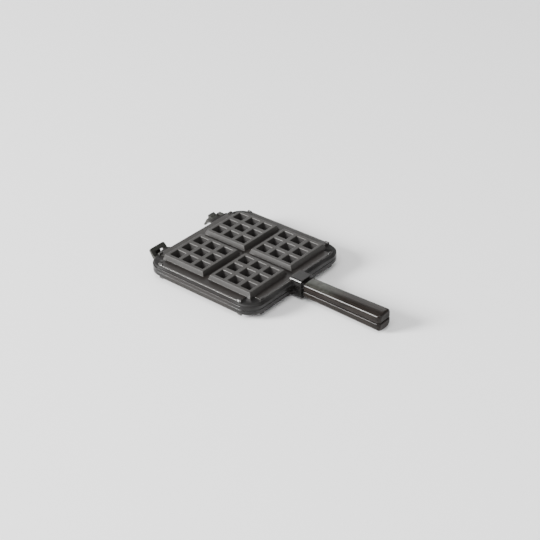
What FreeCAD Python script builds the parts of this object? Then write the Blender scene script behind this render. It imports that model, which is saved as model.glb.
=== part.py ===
import FreeCAD, Part
import math
import os
import re

import Sketcher

# Stovetop waffle iron: two identical cast plates that hook into each other at the far edge.
# Each plate has four raised waffle blocks, a collar and tang at the near edge, and a grip.
#
# Every piece is drawn as the upper one, about the middle of its plate, with z = 0 on the
# parting plane between the plates, -Y towards the grips and +Z away from the other plate.
# The lower pieces are the same ones turned half round about the Y axis.

sizes = [
    # Plate
    ("plate_width", 212.6, "side of the square plate, over the rim"),
    ("rim_corner_radius", 25.8, "plan radius of the rim's corners"),
    ("rim_height", 6.5, "rim band, from the parting plane to its ledge"),
    ("rim_edge_bevel", 0.7, "bevel of the rim band's two edges"),
    ("ledge_width", 1.3, "step from the rim band in to the shoulder"),
    ("shoulder_radius", 3.5, "convex shoulder above the ledge"),
    ("shoulder_width", 3.9, "shoulder, measured across in plan"),
    ("dome_edge_height", 9.3, "top of the shoulder, over the parting plane"),
    ("dome_rise", 0.6, "further rise from the shoulder to the waffle blocks"),
    ("skirt_width", 20.3, "reach of the rim's section in from the rim band"),
    ("web_setback", 11.0, "edge of the plain web, in from the rim band"),
    ("web_height", 6.0, "plain web under the blocks"),
    ("deck_height", 11.4, "edge strips and the grooves between blocks"),
    ("strip_setback", 3.2, "wall of an edge strip, in from the rim band"),
    ("strip_length", 160.0, "length of each edge strip"),
    ("strip_edge_radius", 1.0, "rounding of a strip's outer edge"),
    ("lug_length", 7.0, "small lug at each end of a strip"),
    ("lug_width", 3.0, "lug, across the strip"),
    ("lug_rise", 1.4, "lug, above the strip"),
    ("lug_overhang", 2.2, "lug, past the strip's end"),
    # Waffle blocks
    ("block_pitch", 92.0, "centre to centre of the waffle blocks"),
    ("block_height", 18.6, "blocks' outer face, over the parting plane"),
    ("block_side", 77.7, "side of a block at its outer face"),
    ("block_draft", 19.5, "slope of a block's walls, in degrees"),
    ("blocks_per_row", 2, "waffle blocks each way"),
    ("cavity_wall", 3.0, "wall round a cavity, measured across"),
    ("cavity_roof", 3.2, "thickness of metal over a cavity"),
    ("pit_pitch", 24.75, "centre to centre of the pits"),
    ("pit_mouth", 17.85, "side of a pit at the block's outer face"),
    ("pit_bottom", 6.0, "side of a pit at its floor"),
    ("pit_depth", 13.4, "depth of a pit"),
    ("pits_per_row", 3, "pits each way in a block"),
    ("peg_wall", 3.1, "metal between a pit and its peg's face, across"),
    ("peg_cap", 2.8, "metal between a pit's floor and its peg's tip"),
    ("gutter_land", 6.0, "flat land outside the overflow gutter"),
    ("gutter_width", 7.0, "overflow gutter round the four cavities"),
    ("gutter_depth", 6.2, "depth of the gutter"),
    ("gutter_corner_radius", 19.0, "outer plan radius of the gutter's corners"),
    # Collar, neck and tang
    ("collar_start", 98.4, "collar's inner face, from the plate's middle"),
    ("collar_length", 22.1, "collar, along the grip"),
    ("collar_width", 27.2, "collar, across"),
    ("collar_height", 15.0, "collar's top, over the parting plane"),
    ("collar_radius", 3.5, "rounding of the collar's long top edges"),
    ("neck_length", 4.6, "neck between the collar and the grip"),
    ("neck_width", 20.0, "neck, across"),
    ("neck_foot", 1.2, "neck's underside, over the parting plane"),
    ("neck_height", 9.6, "neck, from underside to top"),
    ("tang_length", 60.0, "tang inside the grip"),
    ("tang_width", 16.0, "tang, across"),
    ("tang_thickness", 4.4, "tang, from underside to top"),
    ("tang_end_radius", 3.0, "rounding of the tang's end corners"),
    # Hinge
    ("hinge_reach", 125.2, "hinge axis, from the plate's middle"),
    ("bar_root_drop", 2.1, "inner edge of the loop's bar, below the axis"),
    ("bar_root_radius", 1.8, "rounding of the bar's inner edge"),
    ("bar_tip_reach", 3.0, "outer edge of the bar, beyond the axis"),
    ("bar_tip_drop", 5.4, "outer edge of the bar, below the axis"),
    ("bar_tip_radius", 1.6, "rounding of the bar's outer edge"),
    ("loop_offset", 61.0, "middle of the loop, from the plate's middle"),
    ("loop_width", 31.0, "loop, over its two legs"),
    ("leg_width", 6.5, "one leg of the loop"),
    ("leg_foot", 3.0, "underside of a leg where it leaves the rim"),
    ("leg_depth", 4.4, "leg, from underside to top, where it leaves the rim"),
    ("leg_knee", 6.6, "bend of a leg's underside, short of the axis"),
    ("leg_back", 3.4, "bend of a leg's top, short of the axis"),
    ("loop_boss_width", 36.0, "boss that carries the loop, at the rim"),
    ("boss_height", 9.2, "bosses' top, over the parting plane"),
    ("boss_foot", 0.7, "bosses' underside, over the parting plane"),
    ("boss_reach", 3.2, "bosses, out from the rim band"),
    ("boss_taper", 2.6, "narrowing of a boss on each side"),
    ("hook_offset", 62.9, "middle of the hook, from the plate's middle"),
    ("hook_width", 13.0, "hook, across"),
    ("hook_boss_width", 19.0, "boss that carries the hook, at the rim"),
    ("hook_inner_radius", 4.2, "hook's inner face, about the axis"),
    ("hook_wall", 2.4, "hook's arm, round its inner face"),
    ("hook_relief_drop", 2.4, "end of the inner face at the arm, below the axis"),
    ("hook_seat_start", 0.2, "inner end of the hook's seat, beyond the axis"),
    ("hook_seat_drop", 0.3, "inner end of the seat, below the axis"),
    ("hook_lip_rise", 1.9, "lip of the hook, above the axis"),
    ("hook_reach", 3.8, "outer face of the hook, beyond the axis"),
    ("hook_drop", 8.4, "outer corner of the hook, below the axis"),
    ("hook_throat", 0.65, "inner face of the hook's nose, short of the axis"),
    ("hook_arm_start", 9.6, "bend of the arm's top, short of the axis"),
    ("hook_arm_drop", 0.6, "bend of the arm's top, below the axis"),
    ("hook_heel_start", 13.0, "bend of the arm's underside, short of the axis"),
    ("hook_heel_drop", 3.0, "bend of the arm's underside, below the axis"),
    ("hook_arm_rise", 4.8, "arm's top where it leaves the boss"),
    ("hook_edge_radius", 0.8, "rounding of the hook's outer edges"),
    ("hinge_clearance", 0.5, "least gap between one plate's hinge and the other's rim"),
    # Grips
    ("grip_length", 136.2, "grip, along its axis"),
    ("grip_near_width", 26.0, "grip, across, beside the collar"),
    ("grip_far_width", 28.4, "grip, across, at its end"),
    ("grip_near_height", 12.4, "grip's top beside the collar"),
    ("grip_far_height", 14.2, "grip's top at its end"),
    ("grip_split", 0.4, "grip's flat face, over the parting plane"),
    ("grip_radius", 4.0, "rounding of the grip's long outer edges"),
    ("grip_split_radius", 0.8, "rounding of the grip's edges at its flat face"),
    ("grip_end_radius", 2.2, "rounding of the grip's end"),
    ("socket_floor", 5.8, "socket's floor, over the parting plane"),
    ("socket_clearance", 0.1, "clearance of the tang in its socket"),
    ("socket_end_clearance", 0.8, "clearance past the tang's end"),
    # Screws and washers
    ("screw_diameter", 4.0, "machine screw"),
    ("screw_length", 6.0, "screw, under its head"),
    ("screw_hole_clearance", 0.04, "tapped hole, round the screw"),
    ("screw_pass_clearance", 0.25, "hole in the grip, round the screw"),
    ("head_diameter", 7.6, "pan head"),
    ("head_height", 2.4, "pan head"),
    ("head_edge_bevel", 0.9, "bevel of the pan head's edge"),
    ("head_sink", 0.3, "head, below the grip's flat face"),
    ("head_bore_clearance", 0.7, "counterbore, round the head"),
    ("recess_width", 1.0, "arm of the cross recess"),
    ("recess_length", 4.2, "cross recess, across"),
    ("recess_depth", 1.3, "cross recess"),
    ("washer_bore", 4.3, "split lock washer"),
    ("washer_diameter", 7.2, "split lock washer"),
    ("washer_thickness", 0.9, "split lock washer"),
    ("washer_gap", 0.8, "split in the washer"),
    ("first_screw", 16.0, "first screw, from the grip's near end"),
    ("screw_spacing", 32.0, "centre to centre of the screws"),
    ("screws_per_grip", 2, "screws in each grip"),
    # Overrun of cuts past the faces that they break through
    ("overrun", 1.0, "cuts, past the faces that they break through"),
    # Closeness by which an edge is known from its place
    ("near_enough", 0.01, "most that an edge to be rounded may stand off its place"),
]

document = FreeCAD.newDocument("StovetopWaffleIron")
sheet = document.addObject("Spreadsheet::Sheet", "Sizes")
for row, (alias, number, meaning) in enumerate(sizes, start=1):
    sheet.set(f"A{row}", meaning)
    sheet.set(f"B{row}", str(number))
    sheet.setAlias(f"B{row}", alias)
document.recompute()

aliases = {alias for alias, number, meaning in sizes}

# Sizes that several features share, written in the sheet's own names.
HALF_PLATE = "plate_width / 2"
STRIP_WALL = "(plate_width / 2 - strip_setback)"
BLOCK_FOOT = "(block_side + 2 * block_height * tan(block_draft))"
CAVITY_TOP = "(block_height - cavity_roof)"
CAVITY_MOUTH = f"({BLOCK_FOOT} - 2 * cavity_wall)"
PIT_SLOPE = "atan((pit_mouth - pit_bottom) / (2 * pit_depth))"
PEG_TIP = "(block_height - pit_depth - peg_cap)"
PEG_TIP_SIDE = f"(pit_bottom + 2 * peg_wall - 2 * peg_cap * tan({PIT_SLOPE}))"
COLLAR_END = "(collar_start + collar_length)"
GRIP_START = f"({COLLAR_END} + neck_length)"
WASHER_SEAT = "(grip_split + head_sink + head_height + washer_thickness)"
HINGE_TIP = "(hinge_reach + bar_tip_reach + bar_tip_radius)"


def qualified(expression):
    """The expression with the sheet's name before each of its sizes."""
    def with_sheet(word):
        return f"Sizes.{word[0]}" if word[0] in aliases else word[0]
    return re.sub(r"[a-z_]+", with_sheet, expression)


def value(expression):
    """The number that an expression of the sheet's sizes has now."""
    return float(sheet.evalExpression(qualified(expression)))


def bind(item, path, expression):
    """Bind one property of an object to the sheet."""
    item.setExpression(path, qualified(expression))


def origin_item(body, role):
    """One of the body's own origin planes or axes."""
    return next(item for item in body.Origin.OriginFeatures if item.Role == role)


def sketch_on(body, name, role, lift="0"):
    """A sketch on one of the body's origin planes, lifted along that plane's normal."""
    sketch = body.newObject("Sketcher::SketchObject", name)
    sketch.AttachmentSupport = [(origin_item(body, role), "")]
    sketch.MapMode = "FlatFace"
    bind(sketch, "AttachmentOffset.Base.z", lift)
    return sketch


def constrain(sketch, constraint, name, expression):
    """Add a constraint and bind its size to the sheet."""
    index = sketch.addConstraint(constraint)
    sketch.renameConstraint(index, name)
    bind(sketch, f"Constraints.{name}", expression)


def arc_between(start, end, radius, centre_on_left):
    """The arc of less than half a circle from start to end, with its centre on one side."""
    chord = end - start
    reach = math.sqrt(radius ** 2 - (chord.Length / 2) ** 2)
    left = FreeCAD.Vector(-chord.y, chord.x, 0).normalize()
    middle = (start + end) / 2
    centre = middle + left * (reach if centre_on_left else -reach)
    first, last = (start, end) if centre_on_left else (end, start)
    first_angle = math.atan2(first.y - centre.y, first.x - centre.x)
    last_angle = math.atan2(last.y - centre.y, last.x - centre.x)
    circle = Part.Circle(centre, FreeCAD.Vector(0, 0, 1), radius)
    return Part.ArcOfCircle(circle, first_angle, last_angle)


def outline(sketch, corners):
    """Draw a closed outline with every corner and radius bound to the sheet.

    A corner is (across, up) where a line leaves it, or (across, up, radius, side) where an
    arc leaves it, with the arc's centre on the "left" or "right" of the way round.
    """
    start = sketch.GeometryCount
    places = [FreeCAD.Vector(value(corner[0]), value(corner[1]), 0) for corner in corners]
    ends = []
    for index, corner in enumerate(corners):
        here = places[index]
        there = places[(index + 1) % len(places)]
        if len(corner) == 2:
            sketch.addGeometry(Part.LineSegment(here, there), False)
            ends.append((1, 2))
            continue
        on_left = corner[3] == "left"
        sketch.addGeometry(arc_between(here, there, value(corner[2]), on_left), False)
        ends.append((1, 2) if on_left else (2, 1))
    for index, corner in enumerate(corners):
        after = (index + 1) % len(corners)
        sketch.addConstraint(Sketcher.Constraint(
            "Coincident", start + index, ends[index][1], start + after, ends[after][0]))
        for kind, size, place in (("X", corner[0], places[index].x),
                                  ("Y", corner[1], places[index].y)):
            constrain(sketch, Sketcher.Constraint(
                f"Distance{kind}", -1, 1, start + index, ends[index][0], place),
                f"corner_{start + index}_{kind.lower()}", size)
        if len(corner) > 2:
            constrain(sketch, Sketcher.Constraint("Radius", start + index, value(corner[2])),
                      f"radius_{start + index}", corner[2])


def rectangle(sketch, left, right, bottom, top):
    """Draw a rectangle from its four sides' places."""
    outline(sketch, [(left, bottom), (right, bottom), (right, top), (left, top)])


def rounded_square(sketch, half_side, radius):
    """Draw a square with rounded corners about the origin, starting in the middle of a side."""
    flat = f"({half_side} - {radius})"
    outline(sketch, [
        (half_side, "0"),
        (half_side, flat, radius, "left"),
        (flat, half_side),
        (f"-{flat}", half_side, radius, "left"),
        (f"-{half_side}", flat),
        (f"-{half_side}", f"-{flat}", radius, "left"),
        (f"-{flat}", f"-{half_side}"),
        (flat, f"-{half_side}", radius, "left"),
        (half_side, f"-{flat}")])


def circle(sketch, across, up, diameter):
    """Draw a circle."""
    index = sketch.GeometryCount
    centre = FreeCAD.Vector(value(across), value(up), 0)
    normal = FreeCAD.Vector(0, 0, 1)
    sketch.addGeometry(Part.Circle(centre, normal, value(diameter) / 2), False)
    constrain(sketch, Sketcher.Constraint("DistanceX", -1, 1, index, 3, centre.x),
              f"centre_{index}_x", across)
    constrain(sketch, Sketcher.Constraint("DistanceY", -1, 1, index, 3, centre.y),
              f"centre_{index}_y", up)
    constrain(sketch, Sketcher.Constraint("Diameter", index, value(diameter)),
              f"diameter_{index}", diameter)


def extrude(body, kind, name, sketch, length, taper="0", backwards=False):
    """Pad or pocket a sketch, and check that it added or took material."""
    before = body.Shape.Volume if body.Tip and not body.Shape.isNull() else 0
    feature = body.newObject(f"PartDesign::{kind}", name)
    feature.Profile = sketch
    feature.Reversed = backwards
    bind(feature, "Length", length)
    bind(feature, "TaperAngle", taper)
    sketch.Visibility = False
    document.recompute()
    gained = feature.Shape.Volume - before
    if (gained > 0) != (kind == "Pad"):
        raise RuntimeError(f"{body.Label}: {name} changed the volume by {gained:.3f}")
    return feature


def tapered(body, kind, name, middle, low, high):
    """Add or cut a square block with sloping walls, centred at (middle, middle) in plan.

    low and high are the heights of its two ends, each with the side of its square there.
    """
    before = body.Shape.Volume
    wedge = body.newObject(f"PartDesign::{kind}Wedge", name)
    wedge.AttachmentSupport = [(origin_item(body, "XZ_Plane"), "")]
    wedge.MapMode = "FlatFace"
    for end, (height, side) in (("", low), ("2", high)):
        bind(wedge, f"X{end}min", f"{middle} - {side} / 2")
        bind(wedge, f"X{end}max", f"{middle} + {side} / 2")
        bind(wedge, f"Z{end}min", f"-{middle} - {side} / 2")
        bind(wedge, f"Z{end}max", f"-{middle} + {side} / 2")
    bind(wedge, "Ymin", low[0])
    bind(wedge, "Ymax", high[0])
    document.recompute()
    gained = wedge.Shape.Volume - before
    if (gained > 0) != (kind == "Additive"):
        raise RuntimeError(f"{body.Label}: {name} changed the volume by {gained:.3f}")
    return wedge


def row_along(body, name, axis, span, count):
    """A row of copies along one of the body's axes, for a pattern."""
    row = body.newObject("PartDesign::LinearPattern", name)
    row.Direction = (origin_item(body, axis), [""])
    bind(row, "Length", span)
    bind(row, "Occurrences", count)
    return row


def grid(body, name, feature, rows):
    """Repeat a feature by several rows at once."""
    pattern = body.newObject("PartDesign::MultiTransform", name)
    pattern.Originals = [feature]
    steps = []
    for index, (axis, span, count) in enumerate(rows):
        steps.append(row_along(body, f"{name}Row{index}", axis, span, count))
    pattern.Transformations = steps
    body.Tip = pattern
    document.recompute()
    return pattern


def edges_where(shape, wanted):
    """Names of the edges whose middle and bounding box the test accepts."""
    names = []
    for index, edge in enumerate(shape.Edges, start=1):
        if wanted(edge):
            names.append(f"Edge{index}")
    return names


def soften(body, name, edges, radius):
    """Round edges of the body's last feature."""
    base = body.Tip
    fillet = body.newObject("PartDesign::Fillet", name)
    fillet.Base = (base, edges)
    bind(fillet, "Radius", radius)
    document.recompute()
    return fillet


def add_plate(body):
    """The rim's section swept round the plate, with the plain web inside it."""
    web = sketch_on(body, "WebOutline", "XY_Plane")
    web_side = f"({HALF_PLATE} - web_setback)"
    rectangle(web, f"-{web_side}", web_side, f"-{web_side}", web_side)
    extrude(body, "Pad", "Web", web, "web_height")

    path = sketch_on(body, "RimPath", "XY_Plane")
    rounded_square(path, HALF_PLATE, "rim_corner_radius")
    section = sketch_on(body, "RimSection", "XZ_Plane")
    inside = f"{HALF_PLATE} - skirt_width"
    foot = f"{HALF_PLATE} - ledge_width"
    outline(section, [
        (inside, "0"),
        (f"{HALF_PLATE} - rim_edge_bevel", "0"),
        (HALF_PLATE, "rim_edge_bevel"),
        (HALF_PLATE, "rim_height - rim_edge_bevel"),
        (f"{HALF_PLATE} - rim_edge_bevel", "rim_height"),
        (foot, "rim_height", "shoulder_radius", "left"),
        (f"{foot} - shoulder_width", "dome_edge_height"),
        (inside, "dome_edge_height + dome_rise")])
    document.recompute()
    rim = body.newObject("PartDesign::AdditivePipe", "Rim")
    rim.Profile = section
    rim.Spine = (path, [f"Edge{index + 1}" for index in range(path.GeometryCount)])
    rim.Mode = "Binormal"
    rim.Binormal = FreeCAD.Vector(0, 0, 1)
    section.Visibility = path.Visibility = False
    document.recompute()


def add_strips(body):
    """The raised strips along the four edges, which are one cross with the grooves."""
    cross = sketch_on(body, "StripOutline", "XY_Plane")
    end = "(strip_length / 2)"
    outline(cross, [
        (STRIP_WALL, f"-{end}"), (STRIP_WALL, end), (end, end), (end, STRIP_WALL),
        (f"-{end}", STRIP_WALL), (f"-{end}", end), (f"-{STRIP_WALL}", end),
        (f"-{STRIP_WALL}", f"-{end}"), (f"-{end}", f"-{end}"), (f"-{end}", f"-{STRIP_WALL}"),
        (end, f"-{STRIP_WALL}"), (end, f"-{end}")])
    extrude(body, "Pad", "Strips", cross, "deck_height")
    wall = value(STRIP_WALL)
    top = value("deck_height")
    close = value("near_enough")

    def outer_top(edge):
        middle = edge.BoundBox.Center
        out = max(abs(middle.x), abs(middle.y))
        return abs(middle.z - top) < close and abs(out - wall) < close
    soften(body, "StripRounding", edges_where(body.Shape, outer_top), "strip_edge_radius")

    lug = sketch_on(body, "LugOutline", "XY_Plane")
    outer = f"({STRIP_WALL} - strip_edge_radius / 2)"
    tip = f"({end} + lug_overhang)"
    root = f"({tip} - lug_length)"
    rectangle(lug, f"{outer} - lug_width", outer, root, tip)
    first = extrude(body, "Pad", "Lug", lug, "deck_height + lug_rise")
    mirrored = body.newObject("PartDesign::Mirrored", "LugMirror")
    mirrored.MirrorPlane = (origin_item(body, "XZ_Plane"), [""])
    turned = body.newObject("PartDesign::PolarPattern", "LugTurn")
    turned.Axis = (origin_item(body, "Z_Axis"), [""])
    turned.Angle = 360
    turned.Occurrences = 4
    lugs = body.newObject("PartDesign::MultiTransform", "Lugs")
    lugs.Originals = [first]
    lugs.Transformations = [mirrored, turned]
    body.Tip = lugs
    document.recompute()


def add_blocks(body):
    """Four waffle blocks, each a hollow box whose pits are the backs of its pegs."""
    first = "(-block_pitch / 2)"
    block_span = "block_pitch * (blocks_per_row - 1)"
    pit_span = "pit_pitch * (pits_per_row - 1)"
    first_pit = f"({first} - {pit_span} / 2)"
    blocks = [("X_Axis", block_span, "blocks_per_row"), ("Y_Axis", block_span, "blocks_per_row")]
    pits = [("X_Axis", pit_span, "pits_per_row"), ("Y_Axis", pit_span, "pits_per_row")]

    cavity_side = f"({CAVITY_MOUTH} - 2 * {CAVITY_TOP} * tan(block_draft))"
    peg_root = f"({CAVITY_TOP} + overrun)"
    peg_root_side = f"({PEG_TIP_SIDE} + 2 * ({peg_root} - {PEG_TIP}) * tan({PIT_SLOPE}))"

    block = tapered(body, "Additive", "Block", first,
                    ("0", BLOCK_FOOT), ("block_height", "block_side"))
    grid(body, "Blocks", block, blocks)
    cavity = tapered(body, "Subtractive", "Cavity", first,
                     ("0", CAVITY_MOUTH), (CAVITY_TOP, cavity_side))
    grid(body, "Cavities", cavity, blocks)
    peg = tapered(body, "Additive", "Peg", first_pit,
                  (PEG_TIP, PEG_TIP_SIDE), (peg_root, peg_root_side))
    grid(body, "Pegs", peg, pits + blocks)
    pit = tapered(body, "Subtractive", "Pit", first_pit,
                  ("block_height - pit_depth", "pit_bottom"), ("block_height", "pit_mouth"))
    grid(body, "Pits", pit, pits + blocks)


def add_gutter(body):
    """The overflow gutter in the mating face, round the four cavities."""
    ring = sketch_on(body, "GutterOutline", "XY_Plane")
    outer = f"({HALF_PLATE} - gutter_land)"
    rounded_square(ring, outer, "gutter_corner_radius")
    rounded_square(ring, f"({outer} - gutter_width)", "(gutter_corner_radius - gutter_width)")
    extrude(body, "Pocket", "Gutter", ring, "gutter_depth", backwards=True)


def add_collar(body):
    """Collar over the rim, neck behind it and the tang that the grip fits over."""
    collar = sketch_on(body, "CollarSection", "XZ_Plane", "collar_start")
    side = "(collar_width / 2)"
    outline(collar, [
        (f"-{side}", "0"),
        (side, "0"),
        (side, "collar_height - collar_radius", "collar_radius", "left"),
        (f"{side} - collar_radius", "collar_height"),
        (f"-{side} + collar_radius", "collar_height", "collar_radius", "left"),
        (f"-{side}", "collar_height - collar_radius")])
    extrude(body, "Pad", "Collar", collar, "collar_length")

    neck = sketch_on(body, "NeckOutline", "XY_Plane", "neck_foot")
    rectangle(neck, "-neck_width / 2", "neck_width / 2", f"-{GRIP_START}",
              f"-{COLLAR_END} + overrun")
    extrude(body, "Pad", "Neck", neck, "neck_height")
    tang = sketch_on(body, "TangOutline", "XY_Plane", "socket_floor")
    end = f"-({GRIP_START} + tang_length)"
    half = "(tang_width / 2)"
    outline(tang, [
        (half, f"{end} + tang_end_radius"),
        (half, f"-{GRIP_START} + overrun"),
        (f"-{half}", f"-{GRIP_START} + overrun"),
        (f"-{half}", f"{end} + tang_end_radius", "tang_end_radius", "left"),
        (f"-{half} + tang_end_radius", end),
        (f"{half} - tang_end_radius", end, "tang_end_radius", "left")])
    extrude(body, "Pad", "Tang", tang, "tang_thickness")
    tapped = sketch_on(body, "TappedHoles", "XY_Plane", "socket_floor - overrun")
    for index in range(int(value("screws_per_grip"))):
        circle(tapped, "0", f"-({GRIP_START} + first_screw + screw_spacing * {index})",
               "screw_diameter + 2 * screw_hole_clearance")
    extrude(body, "Pocket", "TappedScrewHoles", tapped, "tang_thickness + 2 * overrun",
            backwards=True)


def add_boss(body, name, middle, width):
    """A boss on the shoulder that narrows outwards and carries a hinge arm."""
    sketch = sketch_on(body, f"{name}Outline", "XY_Plane", "boss_foot")
    reach = f"({HALF_PLATE} + boss_reach)"
    root = f"{HALF_PLATE} - strip_setback"
    outline(sketch, [
        (f"{middle} - {width} / 2", root),
        (f"{middle} + {width} / 2", root),
        (f"{middle} + {width} / 2", HALF_PLATE),
        (f"{middle} + {width} / 2 - boss_taper", reach),
        (f"{middle} - {width} / 2 + boss_taper", reach),
        (f"{middle} - {width} / 2", HALF_PLATE)])
    extrude(body, "Pad", name, sketch, "boss_height - boss_foot")


def add_loop(body):
    """The hinge loop: two legs that lean across the parting plane, joined by a bar."""
    add_boss(body, "LoopBoss", "loop_offset", "loop_boss_width")
    left = "(loop_offset - loop_width / 2)"
    lean = "atan((bar_tip_drop - bar_root_drop) / bar_tip_reach)"
    root_y = "hinge_reach"
    tip_y = "(hinge_reach + bar_tip_reach)"

    bar = sketch_on(body, "LoopBarSection", "YZ_Plane", left)
    outline(bar, [
        (f"{root_y} + bar_root_radius * sin({lean})",
         f"-bar_root_drop + bar_root_radius * cos({lean})", "bar_root_radius", "left"),
        (f"{root_y} - bar_root_radius * cos({lean})",
         f"-bar_root_drop + bar_root_radius * sin({lean})", "bar_root_radius", "left"),
        (f"{root_y} - bar_root_radius * sin({lean})",
         f"-bar_root_drop - bar_root_radius * cos({lean})"),
        (f"{tip_y} - bar_tip_radius * sin({lean})",
         f"-bar_tip_drop - bar_tip_radius * cos({lean})", "bar_tip_radius", "left"),
        (f"{tip_y} + bar_tip_radius * cos({lean})",
         f"-bar_tip_drop - bar_tip_radius * sin({lean})", "bar_tip_radius", "left"),
        (f"{tip_y} + bar_tip_radius * sin({lean})",
         f"-bar_tip_drop + bar_tip_radius * cos({lean})")])
    leg = sketch_on(body, "LoopLegSection", "YZ_Plane", left)
    outline(leg, [
        (f"{HALF_PLATE} - strip_setback", "leg_foot"),
        ("hinge_reach - leg_knee", "leg_foot"),
        (f"{tip_y} - bar_tip_radius", "-bar_tip_drop - bar_tip_radius / 2"),
        (f"{tip_y} + bar_tip_radius / 2", "-bar_tip_drop + bar_tip_radius / 2"),
        ("hinge_reach - leg_back", "leg_foot + leg_depth"),
        (f"{HALF_PLATE} - strip_setback", "leg_foot + leg_depth")])
    leg_pad = extrude(body, "Pad", "LoopLeg", leg, "leg_width")
    legs = body.newObject("PartDesign::LinearPattern", "LoopLegs")
    legs.Originals = [leg_pad]
    legs.Direction = (origin_item(body, "X_Axis"), [""])
    bind(legs, "Length", "loop_width - leg_width")
    legs.Occurrences = 2
    body.Tip = legs
    document.recompute()
    extrude(body, "Pad", "LoopBar", bar, "loop_width")


def add_hook(body):
    """The hinge hook: an arm that passes inside the other plate's loop, under its bar."""
    add_boss(body, "HookBoss", "-hook_offset", "hook_boss_width")
    hook = sketch_on(body, "HookSection", "YZ_Plane", "-hook_offset - hook_width / 2")
    axis = "hinge_reach"
    outer = "(hook_inner_radius + hook_wall)"
    diagonal = "45"
    outline(hook, [
        (f"{HALF_PLATE} - strip_setback", "boss_foot"),
        (f"{HALF_PLATE} + boss_reach + hinge_clearance", "boss_foot"),
        (f"{axis} - hook_heel_start", "-hook_heel_drop"),
        (f"{axis} - {outer} * cos({diagonal})", f"-{outer} * sin({diagonal})"),
        (f"{axis} + hook_reach", "-hook_drop"),
        (f"{axis} + hook_reach", "hook_lip_rise"),
        (f"{axis} + hook_seat_start", "-hook_seat_drop"),
        (f"{axis} - hook_throat", "-sqrt(hook_inner_radius ^ 2 - hook_throat ^ 2)",
         "hook_inner_radius", "right"),
        (f"{axis} - sqrt(hook_inner_radius ^ 2 - hook_relief_drop ^ 2)", "-hook_relief_drop"),
        (f"{axis} - hook_arm_start", "-hook_arm_drop"),
        (f"{HALF_PLATE} + boss_reach / 2", "hook_arm_rise"),
        (f"{HALF_PLATE} - strip_setback", "hook_arm_rise")])
    extrude(body, "Pad", "Hook", hook, "hook_width")
    face = value(f"{axis} + hook_reach - near_enough")

    def nose(edge):
        box = edge.BoundBox
        return box.XMax < 0 and box.YMin > face and box.XLength > value("hook_width") / 2
    soften(body, "HookRounding", edges_where(body.Shape, nose), "hook_edge_radius")


def plate_casting(label):
    """One cast plate with everything that is cast with it."""
    body = document.addObject("PartDesign::Body", label)
    add_plate(body)
    add_strips(body)
    add_collar(body)
    add_loop(body)
    add_hook(body)
    add_gutter(body)
    add_blocks(body)
    return body


def moulded_grip(label):
    """One grip: a flared half bar with a blind socket for the tang."""
    body = document.addObject("PartDesign::Body", label)
    ends = []
    for place, along in (("Near", GRIP_START), ("Far", f"({GRIP_START} + grip_length)")):
        half = f"(grip_{place.lower()}_width / 2)"
        section = sketch_on(body, f"{place}Section", "XZ_Plane", along)
        rectangle(section, f"-{half}", half, "grip_split", f"grip_{place.lower()}_height")
        ends.append(section)
    document.recompute()
    bar = body.newObject("PartDesign::AdditiveLoft", "Bar")
    bar.Profile = ends[0]
    bar.Sections = [ends[1]]
    bar.Ruled = True
    document.recompute()
    split = value("grip_split + near_enough")
    far = value(f"near_enough - ({GRIP_START} + grip_length)")
    near = value(f"-{GRIP_START} - near_enough")

    def outer(edge):
        return edge.BoundBox.YLength > value("grip_length") / 2 and edge.BoundBox.ZMin > split
    soften(body, "OuterRounding", edges_where(body.Shape, outer), "grip_radius")

    def end(edge):
        return edge.BoundBox.YMax < far and edge.BoundBox.Center.z > split
    soften(body, "EndRounding", edges_where(body.Shape, end), "grip_end_radius")

    def flat_face(edge):
        return edge.BoundBox.ZMax < split and edge.BoundBox.YMin < near
    soften(body, "SplitRounding", edges_where(body.Shape, flat_face), "grip_split_radius")

    socket = sketch_on(body, "SocketSection", "XZ_Plane", GRIP_START)
    half = "(tang_width / 2 + socket_clearance)"
    rectangle(socket, f"-{half}", half, "socket_floor",
              "socket_floor + tang_thickness + socket_clearance")
    extrude(body, "Pocket", "Socket", socket, "tang_length + socket_end_clearance",
            backwards=True)
    for name, width, depth in (
            ("ScrewPassage", "screw_diameter + 2 * screw_pass_clearance",
             "socket_floor - grip_split + overrun"),
            ("HeadBore", "head_diameter + 2 * head_bore_clearance",
             f"{WASHER_SEAT} - grip_split")):
        holes = sketch_on(body, f"{name}Outline", "XY_Plane", "grip_split")
        for index in range(int(value("screws_per_grip"))):
            circle(holes, "0",
                   f"-({GRIP_START} + first_screw + screw_spacing * {index})", width)
        extrude(body, "Pocket", name, holes, depth, backwards=True)
    return body


def screw_row(body, feature, name):
    """Repeat a screw or washer at the second screw's place."""
    row = body.newObject("PartDesign::LinearPattern", name)
    row.Originals = feature if isinstance(feature, list) else [feature]
    row.Direction = (origin_item(body, "Y_Axis"), [""])
    row.Reversed = True
    bind(row, "Length", "screw_spacing * (screws_per_grip - 1)")
    bind(row, "Occurrences", "screws_per_grip")
    body.Tip = row
    document.recompute()


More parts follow.
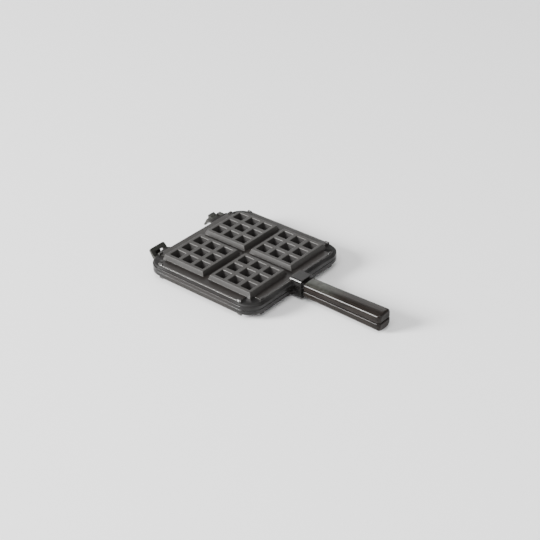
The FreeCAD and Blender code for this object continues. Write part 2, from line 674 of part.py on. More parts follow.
def machine_screws(label):
    """Two pan head screws, driven from the grip's flat face up into the tang."""
    body = document.addObject("PartDesign::Body", label)
    body.AllowCompound = True
    place = f"-({GRIP_START} + first_screw)"
    head_face = "(grip_split + head_sink)"
    section = sketch_on(body, "ScrewSection", "YZ_Plane")
    edge = "head_diameter / 2"
    outline(section, [
        (place, head_face),
        (f"{place} + {edge} - head_edge_bevel", head_face),
        (f"{place} + {edge}", f"{head_face} + head_edge_bevel"),
        (f"{place} + {edge}", f"{head_face} + head_height"),
        (f"{place} + screw_diameter / 2", f"{head_face} + head_height"),
        (f"{place} + screw_diameter / 2", f"{head_face} + head_height + screw_length"),
        (place, f"{head_face} + head_height + screw_length")])
    document.recompute()
    turned = body.newObject("PartDesign::Revolution", "Screw")
    turned.Profile = section
    turned.ReferenceAxis = (section, ["Edge7"])
    turned.Angle = 360
    document.recompute()
    features = [turned]
    for name, across, along in (("RecessAcross", "recess_length", "recess_width"),
                                ("RecessAlong", "recess_width", "recess_length")):
        slot = sketch_on(body, f"{name}Outline", "XY_Plane", f"{head_face} - overrun")
        rectangle(slot, f"-{across} / 2", f"{across} / 2",
                  f"{place} - {along} / 2", f"{place} + {along} / 2")
        features.append(extrude(body, "Pocket", name, slot, "recess_depth + overrun",
                                backwards=True))
    screw_row(body, features, "Screws")
    return body


def lock_washers(label):
    """Two split lock washers, one under each screw head."""
    body = document.addObject("PartDesign::Body", label)
    body.AllowCompound = True
    place = f"-({GRIP_START} + first_screw)"
    ring = sketch_on(body, "WasherOutline", "XY_Plane", f"{WASHER_SEAT} - washer_thickness")
    circle(ring, "0", place, "washer_diameter")
    circle(ring, "0", place, "washer_bore")
    washer = extrude(body, "Pad", "Washer", ring, "washer_thickness")
    gap = sketch_on(body, "WasherGap", "YZ_Plane")
    face = f"{WASHER_SEAT} - washer_thickness"
    outline(gap, [
        (f"{place} - washer_gap", f"{face} - overrun"),
        (place, f"{face} - overrun"),
        (f"{place} + washer_gap", f"{WASHER_SEAT} + overrun"),
        (place, f"{WASHER_SEAT} + overrun")])
    split = extrude(body, "Pocket", "WasherSplit", gap, "washer_diameter", backwards=True)
    screw_row(body, [washer, split], "Washers")
    return body


# The plates' middle stands off the origin, which is under the middle of the whole length.
PLATE_PLACE = f"({GRIP_START} + grip_length - {HINGE_TIP}) / 2"

pieces = []
for side, turn in (("upper", 0), ("lower", 180)):
    for maker, kind in ((plate_casting, "plate"), (moulded_grip, "grip"),
                        (machine_screws, "handle_screws"), (lock_washers, "lock_washers")):
        piece = maker(f"{side}_{kind}")
        piece.Label = f"{side}_{kind}"
        rotation = FreeCAD.Rotation(FreeCAD.Vector(0, 1, 0), turn)
        piece.Placement = FreeCAD.Placement(FreeCAD.Vector(), rotation)
        bind(piece, "Placement.Base.y", PLATE_PLACE)
        bind(piece, "Placement.Base.z", "block_height")
        pieces.append(piece)
document.recompute()

faults = [item.Name for item in document.Objects
          if "Invalid" in item.State or "Error" in item.State]
for piece in pieces:
    if piece.Shape.isNull() or not piece.Shape.isValid():
        faults.append(piece.Label)
if faults:
    raise RuntimeError(f"not built: {faults}")

os.makedirs("parts", exist_ok=True)
for piece in pieces:
    box = piece.Shape.BoundBox
    piece.Shape.exportStep(f"parts/{piece.Label}.step")
    print(f"{piece.Label}: {len(piece.Shape.Solids)} solids, {piece.Shape.Volume:.0f} mm3, "
          f"x {box.XMin:.2f} to {box.XMax:.2f}, y {box.YMin:.2f} to {box.YMax:.2f}, "
          f"z {box.ZMin:.2f} to {box.ZMax:.2f}")
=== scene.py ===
from math import atan2, copysign, cos, radians, sin

import bmesh
import bpy
from mathutils import Matrix, Vector


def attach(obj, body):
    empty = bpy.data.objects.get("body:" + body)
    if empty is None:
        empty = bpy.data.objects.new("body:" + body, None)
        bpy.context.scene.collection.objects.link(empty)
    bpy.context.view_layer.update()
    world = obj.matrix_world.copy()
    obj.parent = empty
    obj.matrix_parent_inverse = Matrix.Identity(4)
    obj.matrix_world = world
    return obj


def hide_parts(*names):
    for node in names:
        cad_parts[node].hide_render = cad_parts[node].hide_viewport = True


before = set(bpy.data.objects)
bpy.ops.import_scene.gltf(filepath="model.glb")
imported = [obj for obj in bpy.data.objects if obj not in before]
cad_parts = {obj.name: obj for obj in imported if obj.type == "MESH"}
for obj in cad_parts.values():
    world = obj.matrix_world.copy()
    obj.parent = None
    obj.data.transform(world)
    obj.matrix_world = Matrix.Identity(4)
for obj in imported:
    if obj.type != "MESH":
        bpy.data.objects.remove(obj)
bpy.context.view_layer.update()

scene = bpy.context.scene


# The view: the camera stands off the near left corner and looks down at the closed iron.
# It looks at a point over the near part of the plates, and is a little off level.
view_azimuth = radians(-48.664)
view_elevation = radians(32.399)
view_roll = radians(-1.779)
view_distance = 1.7407
view_target = Vector((-0.02076, -0.00229, 0.0372))
view_lens = 79.07
view_sensor = 36.0
view_depth = 20.0

camera_data = bpy.data.cameras.new("camera")
camera_data.lens = view_lens
camera_data.sensor_width = view_sensor
camera_data.clip_end = view_depth
back = Vector((sin(view_azimuth) * cos(view_elevation),
               -cos(view_azimuth) * cos(view_elevation),
               sin(view_elevation)))
level = Vector((cos(view_azimuth), sin(view_azimuth), 0.0))
above = back.cross(level)
right = cos(view_roll) * level + sin(view_roll) * above
up = cos(view_roll) * above - sin(view_roll) * level
camera = bpy.data.objects.new("camera", camera_data)
camera.matrix_world = Matrix.Translation(view_target + view_distance * back) @ Matrix(
    (right, up, back)).transposed().to_4x4()
scene.collection.objects.link(camera)
scene.camera = camera


# The floor: one wide pale sheet, matt, that the lower plate's four blocks stand on.
floor_size = 8.0
floor_colour = (0.93, 0.93, 0.93, 1.0)


def new_material(name):
    """A material and its shader."""
    material = bpy.data.materials.new(name)
    material.use_nodes = True
    return material, material.node_tree.nodes["Principled BSDF"]


floor_material, floor_shader = new_material("pale_floor")
floor_shader.inputs["Base Color"].default_value = floor_colour
floor_shader.inputs["Roughness"].default_value = 1.0
floor_shader.inputs["Specular IOR Level"].default_value = 0.0

floor_mesh = bmesh.new()
bmesh.ops.create_grid(floor_mesh, x_segments=1, y_segments=1, size=floor_size / 2)
floor_data = bpy.data.meshes.new("floor")
floor_mesh.to_mesh(floor_data)
floor_mesh.free()
floor_data.materials.append(floor_material)
floor = bpy.data.objects.new("floor", floor_data)
scene.collection.objects.link(floor)


# The studio: a dim pale room with four square soft boxes. The strong one, low on the left, lights
# the faces turned to it. A wide one hangs overhead, and two weak ones, behind the iron and in
# front of it, give the tops their sheen and lift the near walls.
room_colour = (1.0, 1.0, 1.0, 1.0)
room_strength = 0.44

world = bpy.data.worlds.new("room")
world.use_nodes = True
world.node_tree.nodes["Background"].inputs["Color"].default_value = room_colour
world.node_tree.nodes["Background"].inputs["Strength"].default_value = room_strength
scene.world = world


def soft_box(name, place, size, power):
    """A square area light at a place, turned to aim at the iron."""
    data = bpy.data.lights.new(name, "AREA")
    data.size = size
    data.energy = power
    lamp = bpy.data.objects.new(name, data)
    lamp.location = place
    lamp.rotation_euler = (-Vector(place)).to_track_quat("-Z", "Y").to_euler()
    scene.collection.objects.link(lamp)


soft_box("left_box", (-4.7, 3.3, 2.6), 2.2, 1150.0)
soft_box("back_box", (3.0, 2.9, 1.7), 2.3, 36.0)
soft_box("top_box", (-2.2, -1.4, 4.6), 3.4, 212.0)
soft_box("front_box", (-0.4, -4.6, 1.5), 2.0, 60.0)


# The two plate castings: aluminium with a dark grey non-stick coating, sprayed all over and
# baked. Their edges are a little round from the mould, and the coat is thinner there; their pale
# colour is partly wear and partly a painted highlight. They are the same casting twice, and the
# hook of each goes round the bar of the other's loop.
plate_middle = 0.06575
parting_height = 0.0186
waffle_reach = 0.094
waffle_pitch = 0.092
pit_pitch = 0.02475
plate_edge = 0.0007
plate_edge_steps = 3
shortest_rounded_edge = 0.005
sharp_angle = radians(28)
smooth_angle = radians(36)
same_place = 1e-6
same_plane = radians(0.5)


def merged_copy(node):
    """A copy of a CAD node's mesh with its triangles joined into whole faces."""
    mesh = bmesh.new()
    mesh.from_mesh(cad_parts[node].data)
    bmesh.ops.transform(mesh, matrix=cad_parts[node].matrix_world, verts=mesh.verts)
    bmesh.ops.remove_doubles(mesh, verts=mesh.verts, dist=same_place)
    bmesh.ops.dissolve_limit(mesh, angle_limit=same_plane, verts=mesh.verts, edges=mesh.edges)
    return mesh


def round_edges(mesh, wanted, width, steps):
    """Round the sharp edges that the test accepts."""
    edges = [edge for edge in mesh.edges
             if len(edge.link_faces) == 2 and edge.calc_face_angle() > sharp_angle
             and wanted(edge, (edge.verts[0].co + edge.verts[1].co) / 2)]
    bmesh.ops.bevel(mesh, geom=edges, offset=width, offset_type="OFFSET", segments=steps,
                    profile=0.5, affect="EDGES", clamp_overlap=False, material=-1)


def finished(mesh, name, side, node, material):
    """Make the piece that stands for a node, with flat faces that stay flat in the light."""
    data = bpy.data.meshes.new(name)
    mesh.to_mesh(data)
    mesh.free()
    data.materials.append(material)
    for face in data.polygons:
        face.use_smooth = True
    data.set_sharp_from_angle(angle=smooth_angle)
    piece = bpy.data.objects.new(name, data)
    scene.collection.objects.link(piece)
    normals = piece.modifiers.new("even_faces", "WEIGHTED_NORMAL")
    normals.keep_sharp = True
    normals.weight = 100
    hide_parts(node)
    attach(piece, side)


def put(tree, socket, value):
    """Give an input a number or a colour, or link another node's output to it."""
    if isinstance(value, bpy.types.NodeSocket):
        tree.links.new(value, socket)
    else:
        socket.default_value = value


def math_of(tree, operation, *values):
    """One step of arithmetic on numbers."""
    node = tree.nodes.new("ShaderNodeMath")
    node.operation = operation
    for socket, value in zip(node.inputs, values):
        put(tree, socket, value)
    return node.outputs["Value"]


def product_of(tree, mask, *others):
    """Masks multiplied together."""
    for other in others:
        mask = math_of(tree, "MULTIPLY", mask, other)
    return mask


def vector_of(tree, operation, *values):
    """One step of arithmetic on vectors. A length or a dot product is a number."""
    node = tree.nodes.new("ShaderNodeVectorMath")
    node.operation = operation
    for socket, value in zip(node.inputs, values):
        put(tree, socket, value)
    return node.outputs["Value" if operation in ("LENGTH", "DOT_PRODUCT") else "Vector"]


def ramp_of(tree, value, limits, shape="SMOOTHSTEP"):
    """A mask that rises from 0 at the first limit to 1 at the second."""
    node = tree.nodes.new("ShaderNodeMapRange")
    node.interpolation_type = shape
    node.inputs["From Min"].default_value, node.inputs["From Max"].default_value = limits
    put(tree, node.inputs["Value"], value)
    return node.outputs["Result"]


def blend_of(tree, mask, low, high):
    """A number that goes from low to high as the mask goes from 0 to 1."""
    node = tree.nodes.new("ShaderNodeMapRange")
    for socket, value in (("Value", mask), ("To Min", low), ("To Max", high)):
        put(tree, node.inputs[socket], value)
    return node.outputs["Result"]


def mixed_colour(tree, mask, first, second):
    """A colour that goes from the first to the second as the mask goes from 0 to 1."""
    node = tree.nodes.new("ShaderNodeMix")
    node.data_type = "RGBA"
    put(tree, node.inputs["Factor"], mask)
    first_input, second_input = node.inputs[6], node.inputs[7]
    put(tree, first_input, first)
    put(tree, second_input, second)
    return node.outputs[2]


def node_group(name, inputs, outputs):
    """An empty node group with its sockets, to be filled and then put into materials."""
    group = bpy.data.node_groups.new(name, "ShaderNodeTree")
    for socket, value in inputs:
        group.interface.new_socket(
            socket, in_out="INPUT", socket_type="NodeSocketFloat").default_value = value
    for socket, kind in outputs:
        group.interface.new_socket(socket, in_out="OUTPUT", socket_type=kind)
    entry, leave = group.nodes.new("NodeGroupInput"), group.nodes.new("NodeGroupOutput")
    return group, entry.outputs, leave.inputs


def add_group(tree, group, **values):
    """Put a shared node group into a material, with values of its own."""
    node = tree.nodes.new("ShaderNodeGroup")
    node.node_tree = group
    for socket, value in values.items():
        node.inputs[socket].default_value = value
    return node


def object_place(tree, middle=(0.0, 0.0, 0.0), stretch=(1.0, 1.0, 1.0)):
    """The place on the piece, which moves with it, from this middle and stretched."""
    node = tree.nodes.new("ShaderNodeMapping")
    node.inputs["Location"].default_value = [-measure for measure in middle]
    node.inputs["Scale"].default_value = stretch
    put(tree, node.inputs["Vector"], tree.nodes.new("ShaderNodeTexCoord").outputs["Object"])
    return node.outputs["Vector"]


# Rounded edges: where the normal of a slightly rounded edge differs from the face's own. Their
# pale colour is wear on the grips, and on the coat partly wear and partly a painted highlight.
rounded_between = (0.99, 0.9)
rounded_edges, rounding_in, rounding_out = node_group(
    "rounded_edges", (("Radius", 0.0008), ("Grain", 0.5)),
    (("Mask", "NodeSocketFloat"), ("Normal", "NodeSocketVector")))
rounding_bevel = rounded_edges.nodes.new("ShaderNodeBevel")
rounding_bevel.samples = 6
rounding_face = rounded_edges.nodes.new("ShaderNodeNewGeometry")
put(rounded_edges, rounding_bevel.inputs["Radius"], rounding_in["Radius"])
rounding_turn = vector_of(rounded_edges, "DOT_PRODUCT", rounding_bevel.outputs["Normal"],
                      rounding_face.outputs["Normal"])
put(rounded_edges, rounding_out["Mask"], product_of(
    rounded_edges, ramp_of(rounded_edges, rounding_turn, rounded_between, "LINEAR"), rounding_in["Grain"]))
put(rounded_edges, rounding_out["Normal"], rounding_bevel.outputs["Normal"])

# Grain: a fine and a broad noise fixed to the piece, each from 0 to 1.
grain_between = (0.3, 0.7)
grain, grain_in, grain_out = node_group(
    "grain", (("Fine", 900.0), ("Broad", 30.0)),
    (("Fine", "NodeSocketFloat"), ("Broad", "NodeSocketFloat")))
grain_place = object_place(grain)
for size, detail in (("Fine", 2.0), ("Broad", 4.0)):
    noise = grain.nodes.new("ShaderNodeTexNoise")
    noise.inputs["Detail"].default_value = detail
    put(grain, noise.inputs["Vector"], grain_place)
    put(grain, noise.inputs["Scale"], grain_in[size])
    put(grain, grain_out[size], ramp_of(grain, noise.outputs["Fac"], grain_between, "LINEAR"))

# Painted shade: ambient occlusion darkens the colour in corners, creases and pits, where shade
# falls.
painted_shade_between = (0.92, 0.5)
painted_shade, painted_shade_in, painted_shade_out = node_group(
    "painted_corner_shade", (("Distance", 0.0045),), (("Mask", "NodeSocketFloat"),))
painted_shade_corner = painted_shade.nodes.new("ShaderNodeAmbientOcclusion")
painted_shade_corner.samples = 6
put(painted_shade, painted_shade_corner.inputs["Distance"], painted_shade_in["Distance"])
put(painted_shade, painted_shade_out["Mask"],
    ramp_of(painted_shade, painted_shade_corner.outputs["AO"], painted_shade_between, "LINEAR"))

# The coat's zones: where each mask starts and where it is full, in metres from the middle of the
# plates. Shares and rows are counted in pits, from the middle of one to the middle of the next.
block_from = (0.0112, 0.0128)
corner_from = (0.116, 0.134)
neck_and_near_shade_from = (-0.0970, -0.1035)
collar_from = (-0.0970, -0.0985)
collar_top_from = (0.0146, 0.01485)
hinge_from = (0.1085, 0.1110)
ledge_from, ledge_to = (0.0060, 0.0066), (0.0106, 0.0101)
rim_to = (0.0074, 0.0068)
strip_from = (0.0096, 0.0102)
strip_edge_from, strip_edge_to = (0.1006, 0.1014), (0.1040, 0.1034)
pit_to, mouth_from = (0.0185, 0.0178), (0.0172, 0.0176)
pit_share_to = (0.37, 0.35)
mouth_share_from, mouth_share_to = (0.325, 0.335), (0.378, 0.370)
pit_rows_to = (1.45, 1.4)

low_tones = ((0.0110, 0.0091, 0.0079, 1.0), (0.0155, 0.0130, 0.0114, 1.0))
block_tones = ((0.0240, 0.0223, 0.0207, 1.0), (0.0310, 0.0290, 0.0271, 1.0))
# The soot tone also stands for painted shade in the pits and in the ledge's crease.
soot_and_shade_tone = (0.0068, 0.0056, 0.0052, 1.0)
black_tone = (0.0075, 0.0070, 0.0067, 1.0)
hinge_tone = (0.0300, 0.0305, 0.0270, 1.0)
# The pale tone of the coat's edges: partly wear, partly a painted highlight.
worn_and_highlight_tone = (0.150, 0.143, 0.135, 1.0)
# The colour of the painted shade in corners, creases and pits.
painted_shade_tone = (0.007, 0.0062, 0.0056, 1.0)
pit_soot_and_shade = 0.8
pit_painted_shade = 0.5
rim_unworn = 0.85
# How pale the painted highlight line on the rubbed edges is, as a share of the pale tone.
highlight_line_paleness = 0.3

greyed_roughness = (0.38, 0.48)
black_roughness = (0.24, 0.31)
soot_and_shade_roughness = 0.35
collar_top_roughness = 0.2
edge_roughness = -0.3
collar_roughness = -0.11
rubbed_roughness = -0.22

coating, coat_shader = new_material("nonstick_coating")
coat_tree = coating.node_tree
coat_grain = add_group(coat_tree, grain, Fine=1100.0, Broad=26.0)
coat_rounded_edges = add_group(coat_tree, rounded_edges, Radius=0.0011)
coat_painted_shade = add_group(coat_tree, painted_shade)
put(coat_tree, coat_rounded_edges.inputs["Grain"], coat_grain.outputs["Fine"])
coat_mottle = coat_grain.outputs["Broad"]

coat_place = object_place(coat_tree, middle=(0.0, plate_middle, parting_height))
coat_axes = coat_tree.nodes.new("ShaderNodeSeparateXYZ")
put(coat_tree, coat_axes.inputs["Vector"], coat_place)
coat_along = coat_axes.outputs["Y"]
coat_aside = math_of(coat_tree, "ABSOLUTE", coat_axes.outputs["X"])
coat_height = math_of(coat_tree, "ABSOLUTE", coat_axes.outputs["Z"])
coat_distance = vector_of(coat_tree, "LENGTH", vector_of(
    coat_tree, "MULTIPLY", coat_place, (1.0, 1.0, 0.0)))

# The blocks have been over the flame: there the coat has gone grey. Towards the corners, the
# hinge and the collar it is still black and has kept its gloss. It is black along the whole near
# side too, and there the black is partly painted shade.
coat_block = ramp_of(coat_tree, coat_height, block_from)
coat_black = math_of(coat_tree, "MAXIMUM", ramp_of(coat_tree, coat_distance, corner_from),
                     ramp_of(coat_tree, coat_along, neck_and_near_shade_from))
coat_collar = ramp_of(coat_tree, coat_along, collar_from)
coat_collar_top = product_of(coat_tree, coat_collar,
                             ramp_of(coat_tree, coat_height, collar_top_from))
coat_hinge = ramp_of(coat_tree, coat_along, hinge_from)

# The pits keep more soot, and painted shade darkens them further. The ledge round the rim, with
# the shoulder over it, is darkened as painted shade in its crease. The pits' mouths are rubbed
# along their two sides.
coat_pit = ramp_of(coat_tree, coat_height, pit_to)
coat_mouth = ramp_of(coat_tree, coat_height, mouth_from)
for axis in ("X", "Y"):
    pit_count = math_of(coat_tree, "DIVIDE", math_of(coat_tree, "SUBTRACT", math_of(
        coat_tree, "ABSOLUTE", coat_axes.outputs[axis]), waffle_pitch / 2), pit_pitch)
    pit_share = math_of(coat_tree, "ABSOLUTE", math_of(
        coat_tree, "SUBTRACT", pit_count, math_of(coat_tree, "ROUND", pit_count)))
    pit_rows = ramp_of(coat_tree, math_of(coat_tree, "ABSOLUTE", pit_count), pit_rows_to)
    coat_pit = product_of(coat_tree, coat_pit, pit_rows,
                          ramp_of(coat_tree, pit_share, pit_share_to))
    coat_mouth = product_of(coat_tree, coat_mouth, pit_rows,
                            ramp_of(coat_tree, pit_share, mouth_share_to))
    if axis == "X":
        coat_mouth = product_of(coat_tree, coat_mouth,
                                ramp_of(coat_tree, pit_share, mouth_share_from))
coat_ledge = product_of(coat_tree, ramp_of(coat_tree, coat_height, ledge_from),
                        ramp_of(coat_tree, coat_height, ledge_to))
# Soot and painted shade in the pits, and painted shade in the ledge's crease.
coat_soot_and_shade = math_of(coat_tree, "MAXIMUM", product_of(coat_tree, coat_pit, pit_soot_and_shade), coat_ledge)

coat_greyed = mixed_colour(coat_tree, coat_block,
                           mixed_colour(coat_tree, coat_mottle, *low_tones),
                           mixed_colour(coat_tree, coat_mottle, *block_tones))
coat_body = mixed_colour(coat_tree, coat_black,
                         mixed_colour(coat_tree, coat_soot_and_shade, coat_greyed, soot_and_shade_tone),
                         mixed_colour(coat_tree, coat_hinge, black_tone, hinge_tone))

# The raised edges are painted pale, partly as wear and partly as a painted highlight, least of
# all round the rim. The long edges of the strips and the mouths of the pits are rubbed smooth,
# and a painted highlight line lies along them.
coat_rim = product_of(coat_tree, ramp_of(coat_tree, coat_height, rim_to),
                      blend_of(coat_tree, coat_hinge, rim_unworn, 0.0))
coat_sheltered = math_of(coat_tree, "MAXIMUM", coat_pit, math_of(
    coat_tree, "MAXIMUM", coat_ledge, coat_rim))
# Edge paleness: partly wear, partly a painted highlight.
coat_edge = product_of(coat_tree, coat_rounded_edges.outputs["Mask"],
                       math_of(coat_tree, "SUBTRACT", 1.0, coat_sheltered))
coat_strip_edge = product_of(coat_tree, ramp_of(coat_tree, coat_aside, strip_edge_from),
                             ramp_of(coat_tree, coat_aside, strip_edge_to),
                             ramp_of(coat_tree, coat_height, strip_from))
# Painted highlight: the rubbed strip edges and pit mouths also get a pale painted highlight line.
coat_rubbed_and_highlit = math_of(coat_tree, "MAXIMUM", coat_strip_edge, coat_mouth)
coat_pale = math_of(coat_tree, "MAXIMUM", coat_edge,
                    product_of(coat_tree, coat_rubbed_and_highlit, highlight_line_paleness))
# Painted shade from the occlusion mask darkens the colour, half as much in the pits.
coat_shaded = product_of(coat_tree, coat_painted_shade.outputs["Mask"],
                        blend_of(coat_tree, coat_pit, 1.0, pit_painted_shade))
put(coat_tree, coat_shader.inputs["Base Color"], mixed_colour(
    coat_tree, coat_shaded, mixed_colour(coat_tree, coat_pale, coat_body, worn_and_highlight_tone), painted_shade_tone))

coat_rough = blend_of(coat_tree, coat_black,
                      blend_of(coat_tree, coat_mottle, *greyed_roughness),
                      blend_of(coat_tree, coat_mottle, *black_roughness))
for mask, change in ((coat_soot_and_shade, soot_and_shade_roughness), (coat_collar_top, collar_top_roughness),
                     (coat_edge, edge_roughness), (coat_collar, collar_roughness),
                     (coat_rubbed_and_highlit, rubbed_roughness)):
    coat_rough = math_of(coat_tree, "MULTIPLY_ADD", mask, change, coat_rough)
put(coat_tree, coat_shader.inputs["Roughness"], coat_rough)
coat_shader.inputs["IOR"].default_value = 1.33
coat_shader.inputs["Specular IOR Level"].default_value = 0.54

coat_bump = coat_tree.nodes.new("ShaderNodeBump")
coat_bump.inputs["Strength"].default_value = 0.35
coat_bump.inputs["Distance"].default_value = 0.00012
put(coat_tree, coat_bump.inputs["Height"], coat_grain.outputs["Fine"])
put(coat_tree, coat_bump.inputs["Normal"], coat_rounded_edges.outputs["Normal"])
put(coat_tree, coat_shader.inputs["Normal"], coat_bump.outputs["Normal"])

# The collar's long top edges are round, with a narrow flat dressed on them that shines.
collar_reach = (-0.0552, -0.0320)
collar_arc_middle = (0.0101, 0.0115)
collar_arc_radius = 0.0035
collar_flat = (radians(16.0), radians(50.0))
collar_end_height = 0.0125
collar_end_edge = 0.0007
collar_slack = 0.00001


def collar_flattened(mesh, turn):
    """Move the points in the middle of the collar's two roundings onto a flat."""
    for vert in mesh.verts:
        over = turn * (vert.co.z - parting_height) - collar_arc_middle[1]
        across = abs(vert.co.x) - collar_arc_middle[0]
        in_reach = collar_reach[0] < vert.co.y < collar_reach[1]
        if not in_reach or min(over, across) < -collar_slack:
            continue
        place = atan2(over, across)
        if collar_flat[0] < place < collar_flat[1]:
            middle = (collar_flat[0] + collar_flat[1]) / 2
            depth = collar_arc_radius * cos(collar_flat[1] - middle) / cos(place - middle)
            vert.co.x = copysign(collar_arc_middle[0] + depth * cos(place), vert.co.x)
            vert.co.z = parting_height + turn * (collar_arc_middle[1] + depth * sin(place))


# The hinge loop's two outer corners are round, seen square on to the slanting loop.
loop_offset = 0.061
loop_half_width = 0.0155
loop_margin = 0.0002
loop_slant = Vector((0.0, 0.6, 0.8))
loop_tip = 0.08285
loop_start = 0.117
loop_corner_radius = 0.0035
loop_corner_steps = 4


def rounded_loop(mesh, turn):
    """Cut the loop across near its ends, and draw its tip back there along the slant."""
    centre = Vector((turn * loop_offset, plate_middle, parting_height))
    slant = Vector((0.0, loop_slant.y, -turn * loop_slant.z))

    def in_loop(vert):
        place = vert.co - centre
        return place.y > loop_start and abs(place.x) < loop_half_width + loop_margin

    for step in range(loop_corner_steps):
        out = loop_half_width - loop_corner_radius * (
            1 - sin(radians(90 * step / loop_corner_steps)))
        for way in (-1, 1):
            parts = [vert for vert in mesh.verts if in_loop(vert)]
            parts += [part for kind in (mesh.edges, mesh.faces) for part in kind
                      if any(in_loop(vert) for vert in part.verts)]
            bmesh.ops.bisect_plane(mesh, geom=parts, dist=same_place,
                                   plane_co=centre + Vector((way * out, 0.0, 0.0)),
                                   plane_no=(1.0, 0.0, 0.0))
    for vert in mesh.verts:
        place = vert.co - centre
        into = abs(place.x) - loop_half_width + loop_corner_radius
        if in_loop(vert) and into > 0:
            share = min(into / loop_corner_radius, 1.0)
            limit = loop_tip - loop_corner_radius * (1 - (1 - share ** 2) ** 0.5)
            vert.co -= slant * max(place.dot(slant) - limit, 0.0)


def on_waffle(edge, place):
    """An edge of a block, a pit, a cavity or a peg, but not the short ones in their corners."""
    inside = abs(place.x) < waffle_reach and abs(place.y - plate_middle) < waffle_reach
    return inside and edge.calc_length() > shortest_rounded_edge


def on_collar_end(edge, place):
    """An edge that crosses the top of the collar at one of its ends."""
    square = abs(edge.verts[0].co.y - edge.verts[1].co.y) < collar_slack
    high = abs(place.z - parting_height) > collar_end_height
    return square and high and collar_reach[0] < place.y < collar_reach[1]


for side, turn in (("upper", 1), ("lower", -1)):
    mesh = merged_copy(f"{side}_plate")
    collar_flattened(mesh, turn)
    rounded_loop(mesh, turn)
    round_edges(mesh, on_waffle, plate_edge, plate_edge_steps)
    round_edges(mesh, on_collar_end, collar_end_edge, plate_edge_steps)
    finished(mesh, f"{side}_casting", side, f"{side}_plate", coating)


# The two grips: black heat-resistant plastic, moulded in polished tools, so they are glossy.
# Each is a half bar with a slightly crowned back, and generous roundings along it and round
# its free end. The heat has dulled the back beside the collar in broad patches.
grip_near_end = -0.05935
grip_far_end = -0.19555
grip_half_widths = (0.0130, 0.0142)
grip_heights = (0.0124, 0.0142)
grip_split = 0.0004
grip_skin = 0.00004
grip_crown = 0.0009
grip_back_radius = 0.0050
grip_split_radius = 0.0018
grip_root_rounding = (0.0008, 0.0008, 0.0008)
grip_end_rounding = (0.0052, 0.0032, 0.0022)
grip_steps = 14
grip_root_steps = 4
grip_end_steps = 10
grip_corner_steps = 8
grip_back_points = (0.6, 0.2, -0.2, -0.6)


def tapered(sizes, share):
    """A size at this share of the way from the collar to the free end."""
    return sizes[0] + share * (sizes[1] - sizes[0])


def grip_inset(radius, depth):
    """How far a rounding of this radius has drawn the side in, this deep behind the end."""
    return radius - (radius ** 2 - max(radius - depth, 0.0) ** 2) ** 0.5


def grip_ring(place):
    """The points of the grip's section at a place along it, over the parting plane."""
    share = (grip_near_end - place) / (grip_near_end - grip_far_end)
    side_in, top_in, split_in = (
        grip_skin + grip_inset(root, grip_near_end - place) + grip_inset(end, place - grip_far_end)
        for root, end in zip(grip_root_rounding, grip_end_rounding))
    half = tapered(grip_half_widths, share) - side_in
    top = tapered(grip_heights, share) - top_in
    low = grip_split + split_in
    corners = ((half - grip_split_radius, low + grip_split_radius, -90, grip_split_radius),
               (half - grip_back_radius, top - grip_back_radius, 0, grip_back_radius),
               (grip_back_radius - half, top - grip_back_radius, 90, grip_back_radius),
               (grip_split_radius - half, low + grip_split_radius, 180, grip_split_radius))
    points = []
    for middle_x, middle_z, start, radius in corners:
        for step in range(grip_corner_steps + 1):
            angle = radians(start + 90 * step / grip_corner_steps)
            points.append((middle_x + radius * cos(angle), middle_z + radius * sin(angle)))
        if start == 0:
            points += [(shift * (half - grip_back_radius), top) for shift in grip_back_points]
    return [(x, z - grip_crown * (x / half) ** 2 * (z > (low + top) / 2)) for x, z in points]


def grip_envelope(turn):
    """The grip without its socket and screw holes; turn is 1 over the parting plane, or -1."""
    root, end = grip_root_rounding[0], grip_end_rounding[0]
    places = [grip_near_end - root * step / grip_root_steps
              for step in range(grip_root_steps + 1)]
    plain_start, plain_length = places[-1], grip_far_end + end - places[-1]
    places += [plain_start + plain_length * step / grip_steps for step in range(1, grip_steps)]
    places += [grip_far_end + end * (1 - sin(radians(90 * step / grip_end_steps)))
               for step in range(grip_end_steps + 1)]
    mesh = bmesh.new()
    bmesh.ops.create_circle(mesh, cap_ends=True, segments=len(grip_ring(places[0])), radius=1.0)
    section = next(iter(mesh.faces))
    for place in places:
        if place != places[0]:
            grown = bmesh.ops.extrude_face_region(mesh, geom=[section, *section.edges])
            section = next(part for part in grown["geom"] if isinstance(part, bmesh.types.BMFace))
        for vert, (x, z) in zip(section.verts, grip_ring(place)):
            vert.co = (x, place, parting_height + turn * z)
    bmesh.ops.recalc_face_normals(mesh, faces=mesh.faces)
    return mesh


def common_solid(mesh, other):
    """What two closed meshes have in common, as one mesh."""
    objects = []
    for name, part in (("outside", mesh), ("inside", other)):
        data = bpy.data.meshes.new(name)
        part.to_mesh(data)
        part.free()
        objects.append(bpy.data.objects.new(name, data))
        scene.collection.objects.link(objects[-1])
    cut = objects[0].modifiers.new("common", "BOOLEAN")
    cut.operation = "INTERSECT"
    cut.solver = "EXACT"
    cut.object = objects[1]
    evaluated = objects[0].evaluated_get(bpy.context.evaluated_depsgraph_get())
    result = bmesh.new()
    result.from_mesh(evaluated.to_mesh())
    evaluated.to_mesh_clear()
    for piece in objects:
        bpy.data.objects.remove(piece)
    return result


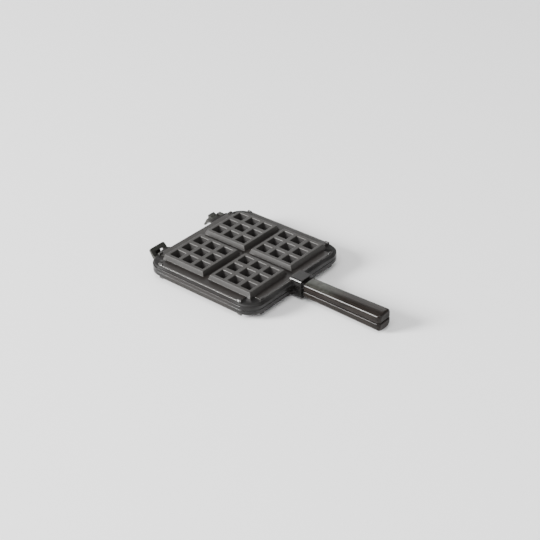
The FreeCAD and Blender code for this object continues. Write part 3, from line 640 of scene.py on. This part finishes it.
# Streaks run along the grip from the hand. On its back beside the hot collar lies a dull
# grey-green bloom, whose pale colour is partly a painted sheen.
streak_stretch = (1.0, 0.08, 1.0)
streak_between = (0.35, 0.65)
streak_tones = ((0.0062, 0.0050, 0.0043, 1.0), (0.0180, 0.0144, 0.0124, 1.0))
bloom_and_sheen_from = (-0.132, -0.075)
bloom_and_sheen_height_from = (0.0102, 0.0120)
bloom_and_sheen_patches = (0.35, 1.0)
bloom_and_sheen_tone = (0.0500, 0.0525, 0.0455, 1.0)
grip_worn_tone = (0.03, 0.028, 0.026, 1.0)
gloss_between = (0.9, 0.82)

phenolic, grip_shader = new_material("phenolic")
grip_tree = phenolic.node_tree
grip_grain = add_group(grip_tree, grain, Fine=700.0, Broad=140.0)
grip_wear = add_group(grip_tree, rounded_edges, Radius=0.0006)
put(grip_tree, grip_wear.inputs["Grain"], grip_grain.outputs["Fine"])
grip_axes = grip_tree.nodes.new("ShaderNodeSeparateXYZ")
put(grip_tree, grip_axes.inputs["Vector"],
    object_place(grip_tree, middle=(0.0, 0.0, parting_height)))

grip_noise = grip_tree.nodes.new("ShaderNodeTexNoise")
grip_noise.inputs["Scale"].default_value = 420.0
grip_noise.inputs["Detail"].default_value = 3.0
put(grip_tree, grip_noise.inputs["Vector"], object_place(grip_tree, stretch=streak_stretch))
grip_streak = ramp_of(grip_tree, grip_noise.outputs["Fac"], streak_between, "LINEAR")
grip_height = math_of(grip_tree, "ABSOLUTE", grip_axes.outputs["Z"])
# Bloom and painted sheen: a pale patch on the grip's back near the collar.
grip_bloom_and_sheen = product_of(grip_tree, ramp_of(grip_tree, grip_axes.outputs["Y"], bloom_and_sheen_from),
                        ramp_of(grip_tree, grip_height, bloom_and_sheen_height_from, "LINEAR"),
                        blend_of(grip_tree, grip_grain.outputs["Broad"], *bloom_and_sheen_patches))
grip_body = mixed_colour(grip_tree, grip_bloom_and_sheen,
                         mixed_colour(grip_tree, grip_streak, *streak_tones), bloom_and_sheen_tone)
put(grip_tree, grip_shader.inputs["Base Color"],
    mixed_colour(grip_tree, grip_wear.outputs["Mask"], grip_body, grip_worn_tone))
put(grip_tree, grip_shader.inputs["Coat Weight"],
    blend_of(grip_tree, grip_bloom_and_sheen, *gloss_between))
grip_shader.inputs["Roughness"].default_value = 0.5
grip_shader.inputs["Specular IOR Level"].default_value = 0.0
grip_shader.inputs["Coat Roughness"].default_value = 0.1
grip_shader.inputs["Coat IOR"].default_value = 1.25

grip_bump = grip_tree.nodes.new("ShaderNodeBump")
grip_bump.inputs["Strength"].default_value = 0.05
grip_bump.inputs["Distance"].default_value = 0.0001
put(grip_tree, grip_bump.inputs["Height"], grip_grain.outputs["Fine"])
put(grip_tree, grip_shader.inputs["Normal"], grip_bump.outputs["Normal"])

for side, turn in (("upper", 1), ("lower", -1)):
    mesh = common_solid(grip_envelope(turn), merged_copy(f"{side}_grip"))
    finished(mesh, f"{side}_moulding", side, f"{side}_grip", phenolic)


# The handle screws and their lock washers: zinc plated steel, driven in from the split side and
# out of sight until the iron opens. The plating is bright, in patches a little duller.
zinc_tones = ((0.44, 0.44, 0.42, 1.0), (0.62, 0.61, 0.57, 1.0))
zinc_roughness = (0.22, 0.4)

plating, zinc_shader = new_material("zinc_plate")
zinc_tree = plating.node_tree
zinc_grain = add_group(zinc_tree, grain, Fine=2600.0, Broad=240.0)
put(zinc_tree, zinc_shader.inputs["Base Color"],
    mixed_colour(zinc_tree, zinc_grain.outputs["Broad"], *zinc_tones))
put(zinc_tree, zinc_shader.inputs["Roughness"],
    blend_of(zinc_tree, zinc_grain.outputs["Fine"], *zinc_roughness))
zinc_shader.inputs["Metallic"].default_value = 1.0

for side in ("upper", "lower"):
    for kind in ("handle_screws", "lock_washers"):
        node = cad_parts[f"{side}_{kind}"]
        node.data.materials.clear()
        node.data.materials.append(plating)
